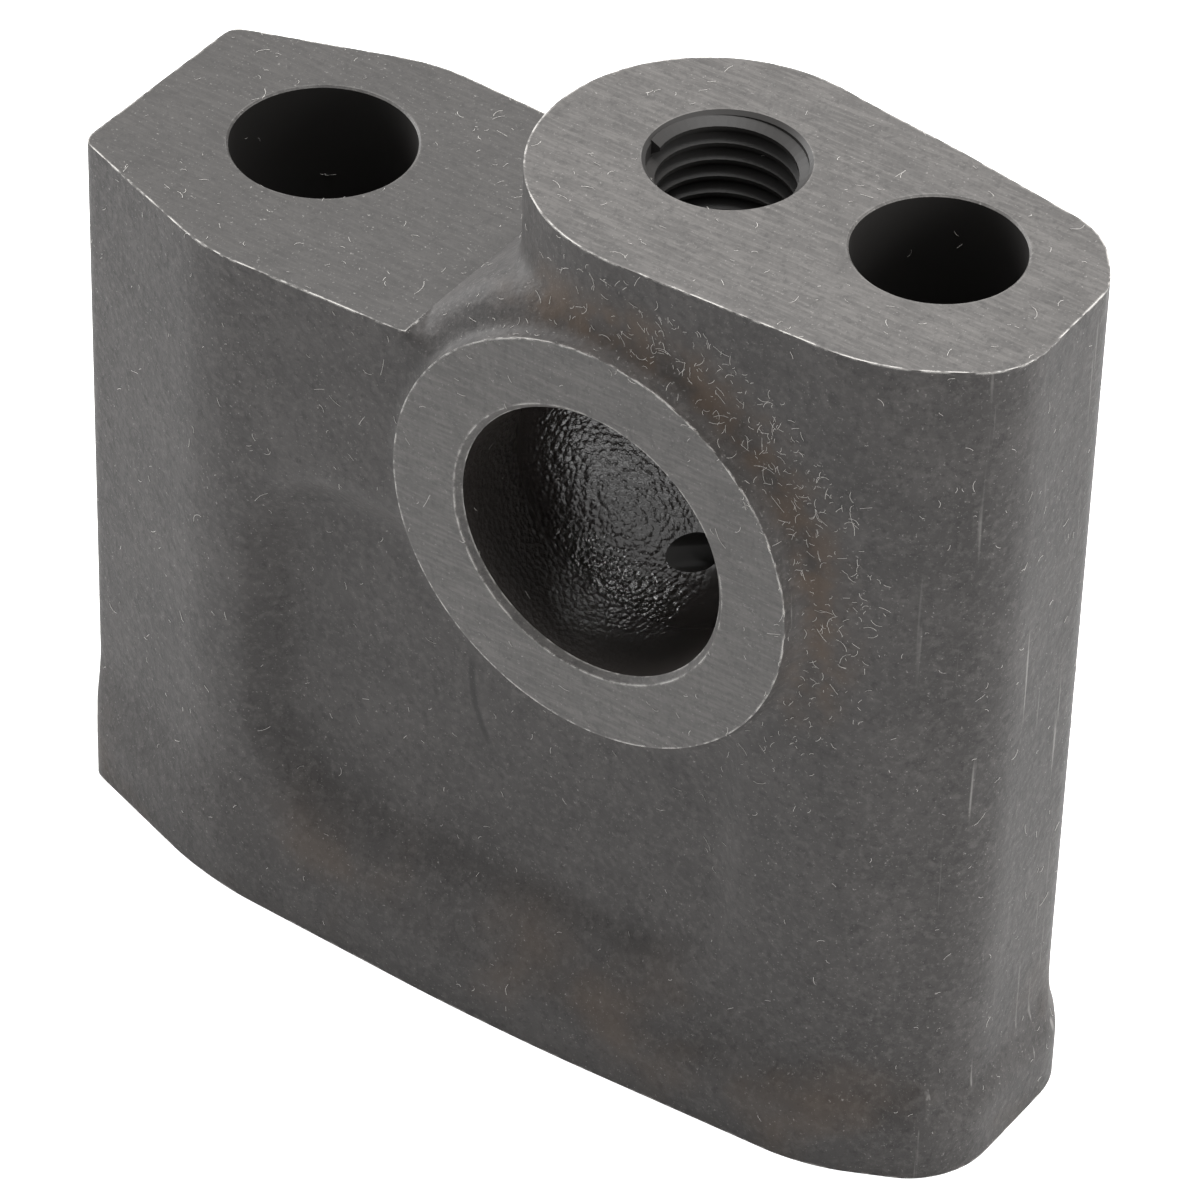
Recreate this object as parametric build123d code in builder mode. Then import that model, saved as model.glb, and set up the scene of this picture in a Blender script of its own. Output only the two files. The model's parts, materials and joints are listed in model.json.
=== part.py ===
from build123d import *
from math import asin, atan, cos, degrees, radians, sin
import os

# A cast and machined mounting block, one piece of iron.  It stands on a spread foot, has a low pad
# and a raised pad on top, a bored boss on its front, and two bolt holes down through its full height.
# Millimetres.  The origin is the middle of the foot's underside, +X along the block to the raised
# end, -Y to the side with the boss, +Z up.

# ---- heights ----
LOW_PAD_Z = 62.3
STEP_UP = 14.1
HIGH_PAD_Z = LOW_PAD_Z + STEP_UP

# ---- vertical holes: their common line, their places along it, and their sizes ----
HOLE_LINE_Y = 1.4
LOW_BOLT_X = -26.9
LOW_BOLT_DIA = 14.6
HIGH_BOLT_X = 28.0
HIGH_BOLT_DIA = 13.0
THREAD_X = 9.7
THREAD_MAJOR_DIA = 12.0
THREAD_PITCH = 1.5
THREAD_CHAMFER = 1.15
TAP_DRILL_DIA = THREAD_MAJOR_DIA - THREAD_PITCH
TAP_DRILL_DEPTH = 20.0

# ---- low block, in plan ----
LOW_END_X = -41.7
LOW_END_HALF = 9.0
LOW_END_ROUND = 1.6
SHOULDER_X = -23.5
SHOULDER_HALF = 14.8
SHOULDER_ROUND = 24.0
NECK_X = -6.0

# ---- raised column, in plan: a wall of metal round each of its two holes ----
THREAD_WALL_RADIUS = 13.8
BOLT_WALL_RADIUS = 13.1
COLUMN_END_X = 40.4

# ---- foot: wider than the walls at the front, the back and the raised end ----
FOOT_END_X = 41.7
FOOT_LOW_HALF = 9.6
FOOT_SHOULDER_HALF = 15.9
FOOT_MIDDLE_X = 8.0
FOOT_MIDDLE_HALF = 16.7
FOOT_END_HALF = 15.8
FOOT_END_ROUND = 13.5
FOOT_EDGE = 4.5
FLARE_HEIGHT = 5.0
FLARE_REACH = 3.2

# ---- boss on the front: a drum lying across the block, a ring on its face, a bore with a dished end ----
BOSS_Z = 51.2
DRUM_RADIUS = 20.7
DRUM_BACK_Y = 12.5
DRUM_ROUND = 3.0
RING_DIA = 35.0
RING_STAND = 0.8
BORE_DIA = 23.0
BORE_DEPTH = 7.8
BORE_CHAMFER = 0.5
DISH_CROWN = 16.0
DISH_KNUCKLE = 6.0

# ---- shallow cast relief in the front wall ----
RELIEF_LEFT_X = -23.0
RELIEF_RIGHT_X = 26.0
RELIEF_BOTTOM_Z = 11.0
RELIEF_TOP_Z = 45.0
RELIEF_FLOOR_Y = -12.6
RELIEF_CORNER = 6.0
RELIEF_SLOPE = 45.0

# ---- cross passage from the bore's dished end to the bolt hole of the raised end ----
PASSAGE_DIA = 3.4
PASSAGE_X = 10.9
PASSAGE_Y = -2.6
PASSAGE_DROP = 8.5
PASSAGE_TURN = 25.0
PASSAGE_START = 2.0

drum_front_y = -SHOULDER_HALF
ring_face_y = drum_front_y - RING_STAND
bore_end_y = ring_face_y + BORE_DEPTH
column_bolt_x = COLUMN_END_X - BOLT_WALL_RADIUS
boss_axis = Axis((THREAD_X, 0, BOSS_Z), (0, 1, 0))


def front_plane(y):
    """The upright plane at this y, seen from the front: local x runs along +X and local y up."""
    return Plane.XZ.offset(-y)


def near_x(shape, x):
    """The shape's outline corners at this x, apart from any on its line of symmetry."""
    return [v for v in shape.vertices() if abs(v.X - x) < 0.1 and abs(v.Y) > 1]


with BuildSketch() as foot_outline:
    with BuildLine():
        Polyline((LOW_END_X, 0), (LOW_END_X, -FOOT_LOW_HALF), (SHOULDER_X, -FOOT_SHOULDER_HALF),
                 (FOOT_MIDDLE_X, -FOOT_MIDDLE_HALF), (FOOT_END_X, -FOOT_END_HALF), (FOOT_END_X, 0))
        mirror(about=Plane.XZ)
    make_face()
    fillet(near_x(foot_outline, FOOT_END_X), FOOT_END_ROUND)
    fillet(near_x(foot_outline, LOW_END_X), LOW_END_ROUND)

with BuildPart() as mounting_block:
    # raised column: the walls round the threaded hole and the bolt hole, and the flanks joining them
    with BuildSketch() as column_plan:
        with Locations((THREAD_X, 0)):
            Circle(THREAD_WALL_RADIUS)
        with Locations((column_bolt_x, 0)):
            Circle(BOLT_WALL_RADIUS)
        make_hull()
    extrude(amount=HIGH_PAD_Z)

    # low block: a straight end, tapered shoulders, and a neck that runs out on the column's flanks
    with BuildSketch() as block_plan:
        with BuildLine():
            Polyline((THREAD_X, -THREAD_WALL_RADIUS), (NECK_X, -SHOULDER_HALF), (SHOULDER_X, -SHOULDER_HALF),
                     (LOW_END_X, -LOW_END_HALF), (LOW_END_X, LOW_END_HALF), (SHOULDER_X, SHOULDER_HALF),
                     (NECK_X, SHOULDER_HALF), (THREAD_X, THREAD_WALL_RADIUS), close=True)
        make_face()
        fillet(near_x(block_plan, LOW_END_X), LOW_END_ROUND)
        fillet(near_x(block_plan, SHOULDER_X), SHOULDER_ROUND)
    extrude(amount=LOW_PAD_Z)

    # relief in the front wall, with sloped sides
    with BuildSketch(front_plane(RELIEF_FLOOR_Y)) as relief_floor:
        with Locations(((RELIEF_LEFT_X + RELIEF_RIGHT_X) / 2, (RELIEF_BOTTOM_Z + RELIEF_TOP_Z) / 2)):
            RectangleRounded(RELIEF_RIGHT_X - RELIEF_LEFT_X, RELIEF_TOP_Z - RELIEF_BOTTOM_Z, RELIEF_CORNER)
    extrude(amount=SHOULDER_HALF + RELIEF_FLOOR_Y + 1, taper=-RELIEF_SLOPE, mode=Mode.SUBTRACT)

    # foot: a straight edge, then a flare that runs out on the walls
    add(foot_outline.sketch)
    extrude(amount=FOOT_EDGE)
    with BuildSketch(Plane.XY.offset(FOOT_EDGE)):
        add(foot_outline.sketch)
    extrude(amount=FLARE_HEIGHT, taper=degrees(atan(FLARE_REACH / FLARE_HEIGHT)))

    # boss: the drum, and the ring machined on its face
    with BuildSketch(Plane.XY.offset(BOSS_Z)) as drum_section:
        with BuildLine():
            Polyline((THREAD_X, drum_front_y), (THREAD_X + DRUM_RADIUS, drum_front_y),
                     (THREAD_X + DRUM_RADIUS, DRUM_BACK_Y), (THREAD_X, DRUM_BACK_Y), close=True)
        make_face()
        fillet([v for v in drum_section.vertices() if v.X > THREAD_X + 1], DRUM_ROUND)
    revolve(axis=boss_axis)
    with BuildSketch(front_plane(ring_face_y)) as ring_face:
        with Locations((THREAD_X, BOSS_Z)):
            Circle(RING_DIA / 2)
    extrude(amount=-2 * RING_STAND)

    # bore, with a small chamfer at its mouth and a dished end: a crown that meets the wall by a knuckle
    bore_radius = BORE_DIA / 2
    knuckle_x = bore_radius - DISH_KNUCKLE
    crown_angle = degrees(asin(knuckle_x / (DISH_CROWN - DISH_KNUCKLE)))
    crown_y = bore_end_y - (DISH_CROWN - DISH_KNUCKLE) * cos(radians(crown_angle))
    with BuildSketch(Plane.XY.offset(BOSS_Z)) as bore_section:
        with BuildLine():
            Polyline((THREAD_X, crown_y + DISH_CROWN), (THREAD_X, ring_face_y),
                     (THREAD_X + bore_radius + BORE_CHAMFER, ring_face_y),
                     (THREAD_X + bore_radius, ring_face_y + BORE_CHAMFER),
                     (THREAD_X + bore_radius, bore_end_y))
            CenterArc((THREAD_X + knuckle_x, bore_end_y), DISH_KNUCKLE, 0, 90 - crown_angle)
            CenterArc((THREAD_X, crown_y), DISH_CROWN, 90 - crown_angle, crown_angle)
        make_face()
    revolve(axis=boss_axis, mode=Mode.SUBTRACT)

    # the two bolt holes, right through
    with Locations((LOW_BOLT_X, HOLE_LINE_Y, LOW_PAD_Z)):
        Hole(LOW_BOLT_DIA / 2)
    with Locations((HIGH_BOLT_X, HOLE_LINE_Y, HIGH_PAD_Z)):
        Hole(HIGH_BOLT_DIA / 2)

    # the threaded hole: a tap drilling with its chamfer, open into the bore's dished end
    with Locations((THREAD_X, HOLE_LINE_Y, HIGH_PAD_Z)):
        CounterSinkHole(TAP_DRILL_DIA / 2, TAP_DRILL_DIA / 2 + THREAD_CHAMFER, TAP_DRILL_DEPTH, 90)

    # cross passage
    along_x = cos(radians(PASSAGE_TURN))
    along_y = sin(radians(PASSAGE_TURN))
    passage_start = (PASSAGE_X - PASSAGE_START * along_x, PASSAGE_Y - PASSAGE_START * along_y,
                     BOSS_Z - PASSAGE_DROP)
    with BuildSketch(Plane(origin=passage_start, z_dir=(along_x, along_y, 0))) as passage_section:
        Circle(PASSAGE_DIA / 2)
    extrude(amount=HIGH_BOLT_X - PASSAGE_X, mode=Mode.SUBTRACT)

mounting_block.part.label = "mounting_block"
os.makedirs("parts", exist_ok=True)
export_step(mounting_block.part, "parts/mounting_block.step")
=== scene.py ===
"""Looks of the machined mounting block: cast body with machined faces, thread, lint and a studio stage."""
import json
import math
import random

import bmesh
import bpy
from mathutils import Matrix, Vector
from mathutils.bvhtree import BVHTree


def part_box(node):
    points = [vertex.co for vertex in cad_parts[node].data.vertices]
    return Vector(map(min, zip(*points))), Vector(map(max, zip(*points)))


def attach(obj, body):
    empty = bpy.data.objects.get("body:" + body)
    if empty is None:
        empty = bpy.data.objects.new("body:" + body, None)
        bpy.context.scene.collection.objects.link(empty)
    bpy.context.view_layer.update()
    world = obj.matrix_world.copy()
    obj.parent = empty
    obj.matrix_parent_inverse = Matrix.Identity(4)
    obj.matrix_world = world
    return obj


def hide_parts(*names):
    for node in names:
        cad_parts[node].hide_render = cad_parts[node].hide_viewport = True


bl_info = {
    "name": "Machined mounting block",
    "version": (1, 0, 0),
    "blender": (4, 5, 0),
    "location": "View3D > Sidebar > Block",
    "description": "Cast mounting block with machined pads, a bored boss and a threaded hole",
    "category": "Object",
}

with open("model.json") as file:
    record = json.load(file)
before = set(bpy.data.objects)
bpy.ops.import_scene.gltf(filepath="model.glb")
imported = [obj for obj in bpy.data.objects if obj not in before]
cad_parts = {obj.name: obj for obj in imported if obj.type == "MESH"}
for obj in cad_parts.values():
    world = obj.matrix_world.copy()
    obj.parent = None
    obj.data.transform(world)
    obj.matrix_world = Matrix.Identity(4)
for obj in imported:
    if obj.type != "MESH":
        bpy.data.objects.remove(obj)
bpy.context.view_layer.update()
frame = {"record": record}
NODE = "mounting_block"
MM = 0.001
MOUNTS = {mount["name"]: mount for mount in frame["record"]["mounts"]}
BOX_LOW, BOX_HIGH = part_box(NODE)


def mount_pos(name):
    """Place of a mount in the part's frame."""
    return tuple(MOUNTS[name]["pos_m"])


def mount_radius(name):
    """Radius of a round mount, in metres."""
    return MOUNTS[name]["dims"]["r_mm"] * MM


# places that the casting, its finishes and the lint share
BOSS_X, RING_Y = mount_pos("boss_ring")[:2]
BOSS_Z = mount_pos("boss_bore")[2]
BOSS_CENTRE = (BOSS_X, 0, BOSS_Z)
THREAD_X, THREAD_Y = mount_pos("threaded_hole")[:2]
THREAD_LOW = mount_pos("raised_pad")[2] - 20.0 * MM

# camera: its place, and its right, up and back directions
CAMERA_PLACE = (0.2319, -0.3484, 0.3739)
CAMERA_AXES = ((0.8213, 0.5699, 0.0254), (-0.3775, 0.5096, 0.7732), (0.4277, -0.6446, 0.6337))


def length(name, default, description):
    """A size in metres."""
    return bpy.props.FloatProperty(name=name, description=description, default=default,
                                   unit="LENGTH", precision=5)


def colour(name, default, description):
    """A colour without alpha."""
    return bpy.props.FloatVectorProperty(name=name, description=description, default=default,
                                         subtype="COLOR", size=3, min=0.0, max=1.0)


class CastingSizes(bpy.types.PropertyGroup):
    """Sizes of the casting and its machined faces"""
    low_pad_z: length("Low pad height", mount_pos("low_pad")[2], "Height of the low machined pad")
    high_pad_z: length("Raised pad height", mount_pos("raised_pad")[2], "Height of the raised pad")
    low_end_x: length("Low end", BOX_LOW.x, "Where the low end stands")
    low_end_half: length("Low end half width", 0.0094, "Half width of the walls at the low end")
    shoulder_x: length("Shoulder place", -0.0260, "Where the walls are widest")
    shoulder_half: length("Shoulder half width", 0.0150, "Half width of the walls at the shoulder")
    high_end_x: length("Raised end", 0.0410, "Where the walls of the raised end stand")
    high_end_half: length("Raised end half width", 0.0133, "Half width where the front facet starts")
    high_back_half: length("Raised end half width, back", 0.0125, "Half width behind the middle line")
    foot_low_half: length("Foot half width, low end", 0.0107, "Half width of the foot at the low end")
    foot_shoulder_half: length("Foot half width, shoulder", 0.0158, "Half width at the shoulder")
    foot_middle_x: length("Foot middle", 0.0030, "Where the foot is widest")
    foot_half: length("Foot half width", BOX_HIGH.y, "Greatest half width of the foot")
    foot_low_x: length("Foot, low end", -0.0412, "Where the foot of the low end stands")
    foot_end_x: length("Foot end", BOX_HIGH.x, "Where the foot of the raised end stands")
    foot_edge: length("Foot edge", 0.0050, "Height of the foot's upright edge")
    flare_top: length("Flare top", 0.0112, "Height at which the foot's flare meets the walls")
    drum_radius: length("Drum radius", 0.0207, "Radius of the drum behind the ring")
    drum_back: length("Drum back", 0.0125, "How far back the drum reaches")
    ring_radius: length("Ring radius", 0.0175, "Outer radius of the machined ring")
    ring_foot: length("Ring foot", 0.0028, "Radius of the concave foot of the ring")
    bore_depth: length("Bore depth", 0.0078, "Depth of the machined bore")
    bore_chamfer: length("Bore chamfer", 0.0005, "Chamfer at the mouth of the bore")
    relief_left: length("Relief left", -0.0190, "Left side of the relief's floor")
    relief_right: length("Relief right", 0.0210, "Right side of the relief's floor")
    relief_bottom: length("Relief bottom", 0.0135, "Bottom of the relief's floor")
    relief_top: length("Relief top", 0.0420, "Top of the relief's floor")
    relief_floor_y: length("Relief floor", -0.0125, "Where the floor of the cast relief lies")
    thread_major: length("Thread size", 0.0120, "Major diameter of the thread")
    thread_pitch: length("Thread pitch", 0.0015, "Pitch of the thread")
    grid: length("Cast skin grid", 0.00048, "Grid on which the cast skin is laid")
    relax_steps: bpy.props.IntProperty(name="Cast skin rounding", default=12, min=0,
                                       description="How many times the cast skin is relaxed")


class FinishColours(bpy.types.PropertyGroup):
    """Colours of the skin, the machined faces and the dirt"""
    cast: colour("Cast skin", (0.0375, 0.0348, 0.0335), "Dark coated skin of the casting")
    machined: colour("Machined face", (0.066, 0.062, 0.059), "Coated machined faces")
    bare: colour("Bare edge", (0.62, 0.60, 0.57), "Bare metal at nicks and edges")
    rust: colour("Rust", (0.070, 0.050, 0.036), "Brown dirt in the corners")
    # the cavity colour is a dark glossy skin, darkened further with painted shade of the bore
    cavity: colour("Cavity", (0.021, 0.0175, 0.0155), "Glossy dark inside of the bore's end")
    lint: colour("Lint", (0.62, 0.60, 0.57), "Lint fibres")


class LintSettings(bpy.types.PropertyGroup):
    """How much lint lies on the block"""
    count: bpy.props.IntProperty(name="Fibres", description="How many fibres lie on the block",
                                 default=1300, min=0)
    seed: bpy.props.IntProperty(name="Seed", description="Start of the scatter", default=7)
    thickness: length("Fibre thickness", 0.000027, "Thickness of a fibre")
    usual: length("Usual length", 0.00048, "Length of most fibres")
    longest: length("Longest", 0.0030, "Length of the longest fibre")


class StageSettings(bpy.types.PropertyGroup):
    """Floor, lights and lens"""
    floor_size: length("Floor size", 3.0, "Side of the pale floor")
    key_power: bpy.props.FloatProperty(name="Key light", description="Power of the main softbox",
                                       default=6.5, unit="POWER")
    floor_glow: bpy.props.FloatProperty(name="Floor white", default=0.55,
                                        description="White added to the floor where it is seen directly")
    fill: bpy.props.FloatProperty(name="Fill light", default=0.27,
                                  description="Strength of the even light from all round")
    lens: bpy.props.FloatProperty(name="Lens", description="Focal length in millimetres",
                                  default=209.6, unit="CAMERA")


# ---------------------------------------------------------------- material helpers

class Finish:
    """A material under construction: most methods add a node and return its output."""

    def __init__(self, name, base, roughness, specular):
        self.material = bpy.data.materials.new(name)
        self.material.use_nodes = True
        self.nodes = self.material.node_tree.nodes
        self.links = self.material.node_tree.links
        self.shader = self.nodes["Principled BSDF"]
        self.shader.inputs["Base Color"].default_value = (*base, 1.0)
        self.shader.inputs["Roughness"].default_value = roughness
        self.shader.inputs["Specular IOR Level"].default_value = specular
        self.place = self.nodes.new("ShaderNodeTexCoord").outputs["Object"]

    def put(self, socket, value):
        """Links an output to a socket, or sets the socket to a number or colour."""
        if isinstance(value, bpy.types.NodeSocket):
            self.links.new(value, socket)
        elif socket.type == "RGBA":
            socket.default_value = (*value, 1.0)
        else:
            socket.default_value = value

    def moved(self, location=(0, 0, 0), scale=(1, 1, 1), rotation=(0, 0, 0)):
        node = self.nodes.new("ShaderNodeMapping")
        node.inputs["Location"].default_value = location
        node.inputs["Rotation"].default_value = rotation
        node.inputs["Scale"].default_value = scale
        self.links.new(self.place, node.inputs["Vector"])
        return node.outputs["Vector"]

    def noise(self, scale, detail=2.0, roughness=0.5, vector=None):
        node = self.nodes.new("ShaderNodeTexNoise")
        node.inputs["Scale"].default_value = scale
        node.inputs["Detail"].default_value = detail
        node.inputs["Roughness"].default_value = roughness
        self.links.new(vector or self.place, node.inputs["Vector"])
        return node.outputs["Fac"]

    def cells(self, scale):
        node = self.nodes.new("ShaderNodeTexVoronoi")
        node.inputs["Scale"].default_value = scale
        self.links.new(self.place, node.inputs["Vector"])
        return node.outputs["Distance"]

    def ramp(self, value, low, high, out_low=0.0, out_high=1.0):
        """Runs softly from out_low to out_high while the value goes from low to high."""
        node = self.nodes.new("ShaderNodeMapRange")
        node.interpolation_type = "SMOOTHSTEP"
        node.inputs["From Min"].default_value = low
        node.inputs["From Max"].default_value = high
        node.inputs["To Min"].default_value = out_low
        node.inputs["To Max"].default_value = out_high
        self.put(node.inputs["Value"], value)
        return node.outputs["Result"]

    def maths(self, operation, first, second=0.0, clamp=False):
        node = self.nodes.new("ShaderNodeMath")
        node.operation = operation
        node.use_clamp = clamp
        self.put(node.inputs[0], first)
        self.put(node.inputs[1], second)
        return node.outputs["Value"]

    def add(self, first, second):
        return self.maths("ADD", first, second)

    def less(self, first, second):
        return self.maths("SUBTRACT", first, second)

    def times(self, first, *others):
        for other in others:
            first = self.maths("MULTIPLY", first, other)
        return first

    def radius(self, first, second):
        """Distance from an axis, given the two distances across it."""
        return self.maths("SQRT", self.add(self.times(first, first), self.times(second, second)))

    def mix(self, share, first, second):
        node = self.nodes.new("ShaderNodeMix")
        node.data_type = "RGBA"
        # the colour sockets of this node are told apart by number, as their names repeat
        self.put(node.inputs[0], share)
        self.put(node.inputs[6], first)
        self.put(node.inputs[7], second)
        return node.outputs[2]

    def normal(self):
        return self.nodes.new("ShaderNodeNewGeometry").outputs["Normal"]

    def edge(self, radius):
        """1 near an outer or inner edge, 0 on open faces."""
        bevel = self.nodes.new("ShaderNodeBevel")
        bevel.samples = 6
        bevel.inputs["Radius"].default_value = radius
        dot = self.nodes.new("ShaderNodeVectorMath")
        dot.operation = "DOT_PRODUCT"
        self.links.new(bevel.outputs["Normal"], dot.inputs[0])
        self.links.new(self.normal(), dot.inputs[1])
        return self.maths("SUBTRACT", 1.0, dot.outputs["Value"], clamp=True)

    def split(self, vector):
        """The X, Y and Z of a vector."""
        node = self.nodes.new("ShaderNodeSeparateXYZ")
        self.links.new(vector, node.inputs["Vector"])
        return node.outputs["X"], node.outputs["Y"], node.outputs["Z"]

    def bump(self, height, distance, strength):
        node = self.nodes.new("ShaderNodeBump")
        node.inputs["Strength"].default_value = strength
        node.inputs["Distance"].default_value = distance
        self.put(node.inputs["Height"], height)
        self.links.new(node.outputs["Normal"], self.shader.inputs["Normal"])

    def colour(self, value):
        self.put(self.shader.inputs["Base Color"], value)

    def gloss(self, value):
        self.put(self.shader.inputs["Roughness"], value)


def shade(tone, factor):
    """A colour made darker or lighter."""
    return tuple(value * factor for value in tone)


# ---------------------------------------------------------------- finishes

EDGE_REACH = 0.30 * MM          # width of the bright nicked edges
# pairs of places between which a patch of a finish fades in, the outer one first
COLLAR_INNER, COLLAR_OUTER = (17.2 * MM, 18.5 * MM), (23.5 * MM, 19.5 * MM)
COLLAR_SIDE, FRONT_WALL = (4.0 * MM, 16.0 * MM), (-11.0 * MM, -12.5 * MM)
FOOT_DIRT = (16.0 * MM, 6.0 * MM)
# between these places the painted shade on the low pad fades in
LOW_PAD_SHADE_BELOW, LOW_PAD_SHADE_BEHIND = (68.0 * MM, 64.0 * MM), (-15.0 * MM, -14.7 * MM)
RING_FACE = (-15.0 * MM, -15.3 * MM)
# where the painted shade line of the fold fades in
CREASE_BOTTOM, CREASE_TOP = (23.6 * MM, 25.5 * MM), (33.0 * MM, 31.5 * MM)
CREASE_RIGHT, CREASE_BACK = (0.5 * MM, -0.2 * MM), (-11.0 * MM, -12.0 * MM)
CREASE_LINE = (0.45 * MM, 0.1 * MM)
DISH_ROUGH_SIDE, DISH_ROUGH_DEEP = (1.5 * MM, -2.5 * MM), (-12.5 * MM, -8.5 * MM)
DISH_GLOSS_DEEP = (-9.5 * MM, -7.0 * MM)
# the painted shade line is an arc round this place
CREASE_X, CREASE_Z, CREASE_RADIUS = 9.5 * MM, 31.0 * MM, 12.0 * MM
# the cutter marks are arcs round a point beside the pads
MILL_X, MILL_Y = -85.0 * MM, -50.0 * MM
MARKS_PER_METRE = 14000.0
# round each hole of the pads the edges stay dull this far out
QUIET_RIM, QUIET_BLEND = 1.4 * MM, 0.4 * MM


def specks(finish, base, bare, amount):
    """Light grains and dust scattered over a dark skin."""
    fine = finish.ramp(finish.noise(4200.0, 2.0, 0.7), 0.62, 0.80, 0.0, 0.22 * amount)
    coarse = finish.noise(1900.0, 3.0, 0.7, finish.moved((0.3, 0.1, 0.7)))
    coarse = finish.ramp(coarse, 0.70, 0.82, 0.0, 0.28 * amount)
    return finish.mix(finish.maths("MAXIMUM", fine, coarse), base, bare)


def nicks(finish, grain, low, high, least, most):
    """Bright broken edges; grain sets how short the breaks are."""
    broken = finish.ramp(finish.noise(grain, 4.0, 0.65), low, high, least, most)
    return finish.times(finish.ramp(finish.edge(EDGE_REACH), 0.008, 0.06), broken)


def ring_dirt(finish, x, y, z):
    """Brown dirt on the front wall, in a collar round the ring on the side of the raised end."""
    across, above = finish.less(x, BOSS_X), finish.less(z, BOSS_Z)
    reach = finish.radius(across, above)
    collar = finish.times(finish.ramp(reach, *COLLAR_INNER), finish.ramp(reach, *COLLAR_OUTER))
    side = finish.ramp(finish.add(across, above), *COLLAR_SIDE)
    front = finish.ramp(y, *FRONT_WALL)
    patches = finish.ramp(finish.noise(420.0, 3.0), 0.35, 0.65, 0.15, 0.85)
    return finish.times(collar, side, front, patches)


def foot_dirt(finish, z):
    """Brown patches low on the foot."""
    patches = finish.ramp(finish.noise(90.0, 3.0), 0.5, 0.72, 0.0, 0.5)
    return finish.times(finish.ramp(z, *FOOT_DIRT), patches)


def crease_shade(finish, x, y, z):
    """A short dark curved line in the front wall beside the ring: painted shade of a fold that the mesh
    doesn't have.
    """
    bow = finish.radius(finish.less(x, CREASE_X), finish.less(z, CREASE_Z))
    line = finish.ramp(finish.maths("ABSOLUTE", finish.less(bow, CREASE_RADIUS)), *CREASE_LINE)
    for value, fade in ((z, CREASE_BOTTOM), (z, CREASE_TOP), (x, CREASE_RIGHT), (y, CREASE_BACK)):
        line = finish.times(line, finish.ramp(value, *fade))
    return line


def end_scores(finish):
    """Upright scores on the face of the raised end."""
    end_face = finish.ramp(finish.split(finish.normal())[0], 0.45, 0.7)
    scores = finish.noise(1300.0, 2.0, 0.6, finish.moved(scale=(1.0, 1.0, 0.035)))
    return finish.times(finish.ramp(scores, 0.64, 0.74, 0.0, 0.22), end_face)


def cast_finish(c):
    """Dark coated cast skin with grain, dirt and a few marks; small dark pit spots and a curved fold line are
    painted shade.
    """
    finish = Finish("cast_skin", c.cast, 0.62, 0.28)
    x, y, z = finish.split(finish.place)
    cloud = finish.ramp(finish.noise(160.0, 4.0, 0.6), 0.3, 0.7)
    skin = finish.mix(cloud, shade(c.cast, 0.82), shade(c.cast, 1.22))
    grain = finish.noise(1500.0, 3.0, 0.65)
    skin = finish.mix(finish.ramp(grain, 0.45, 0.72, 0.0, 0.6), skin, shade(c.cast, 2.1))
    # painted shade: small dark spots stand in for the shade inside pit hollows
    pit_shade = finish.noise(1100.0, 4.0, 0.75, finish.moved((0.7, 0.4, 0.2)))
    skin = finish.mix(finish.ramp(pit_shade, 0.50, 0.30, 0.0, 0.7), skin, shade(c.cast, 0.4))
    dirt = finish.maths("MAXIMUM", ring_dirt(finish, x, y, z), foot_dirt(finish, z))
    skin = finish.mix(dirt, skin, c.rust)
    # painted shade: a dark line where a fold in the wall would hold shade
    skin = finish.mix(finish.times(crease_shade(finish, x, y, z), 0.8), skin, shade(c.cast, 0.3))
    skin = finish.mix(end_scores(finish), skin, c.bare)
    skin = specks(finish, skin, c.bare, 1.3)
    skin = finish.mix(nicks(finish, 700.0, 0.45, 0.60, 0.0, 0.60), skin, c.bare)
    finish.colour(skin)
    lumps = finish.noise(420.0, 3.0, 0.55)
    finish.bump(finish.add(finish.times(grain, 0.7), lumps), 0.13 * MM, 0.8)
    return finish.material


def rim_quiet(finish, x, y, name):
    """Low round a hole's rim, so that its edge stays dull; 1 elsewhere and on the ring's face."""
    hole_x, hole_y, _ = mount_pos(name)
    from_axis = finish.radius(finish.less(x, hole_x), finish.less(y, hole_y))
    rim = mount_radius(name) + QUIET_RIM
    return finish.maths("MAXIMUM", finish.ramp(from_axis, rim, rim + QUIET_BLEND, 0.15, 1.0),
                        finish.ramp(y, *RING_FACE))


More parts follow.
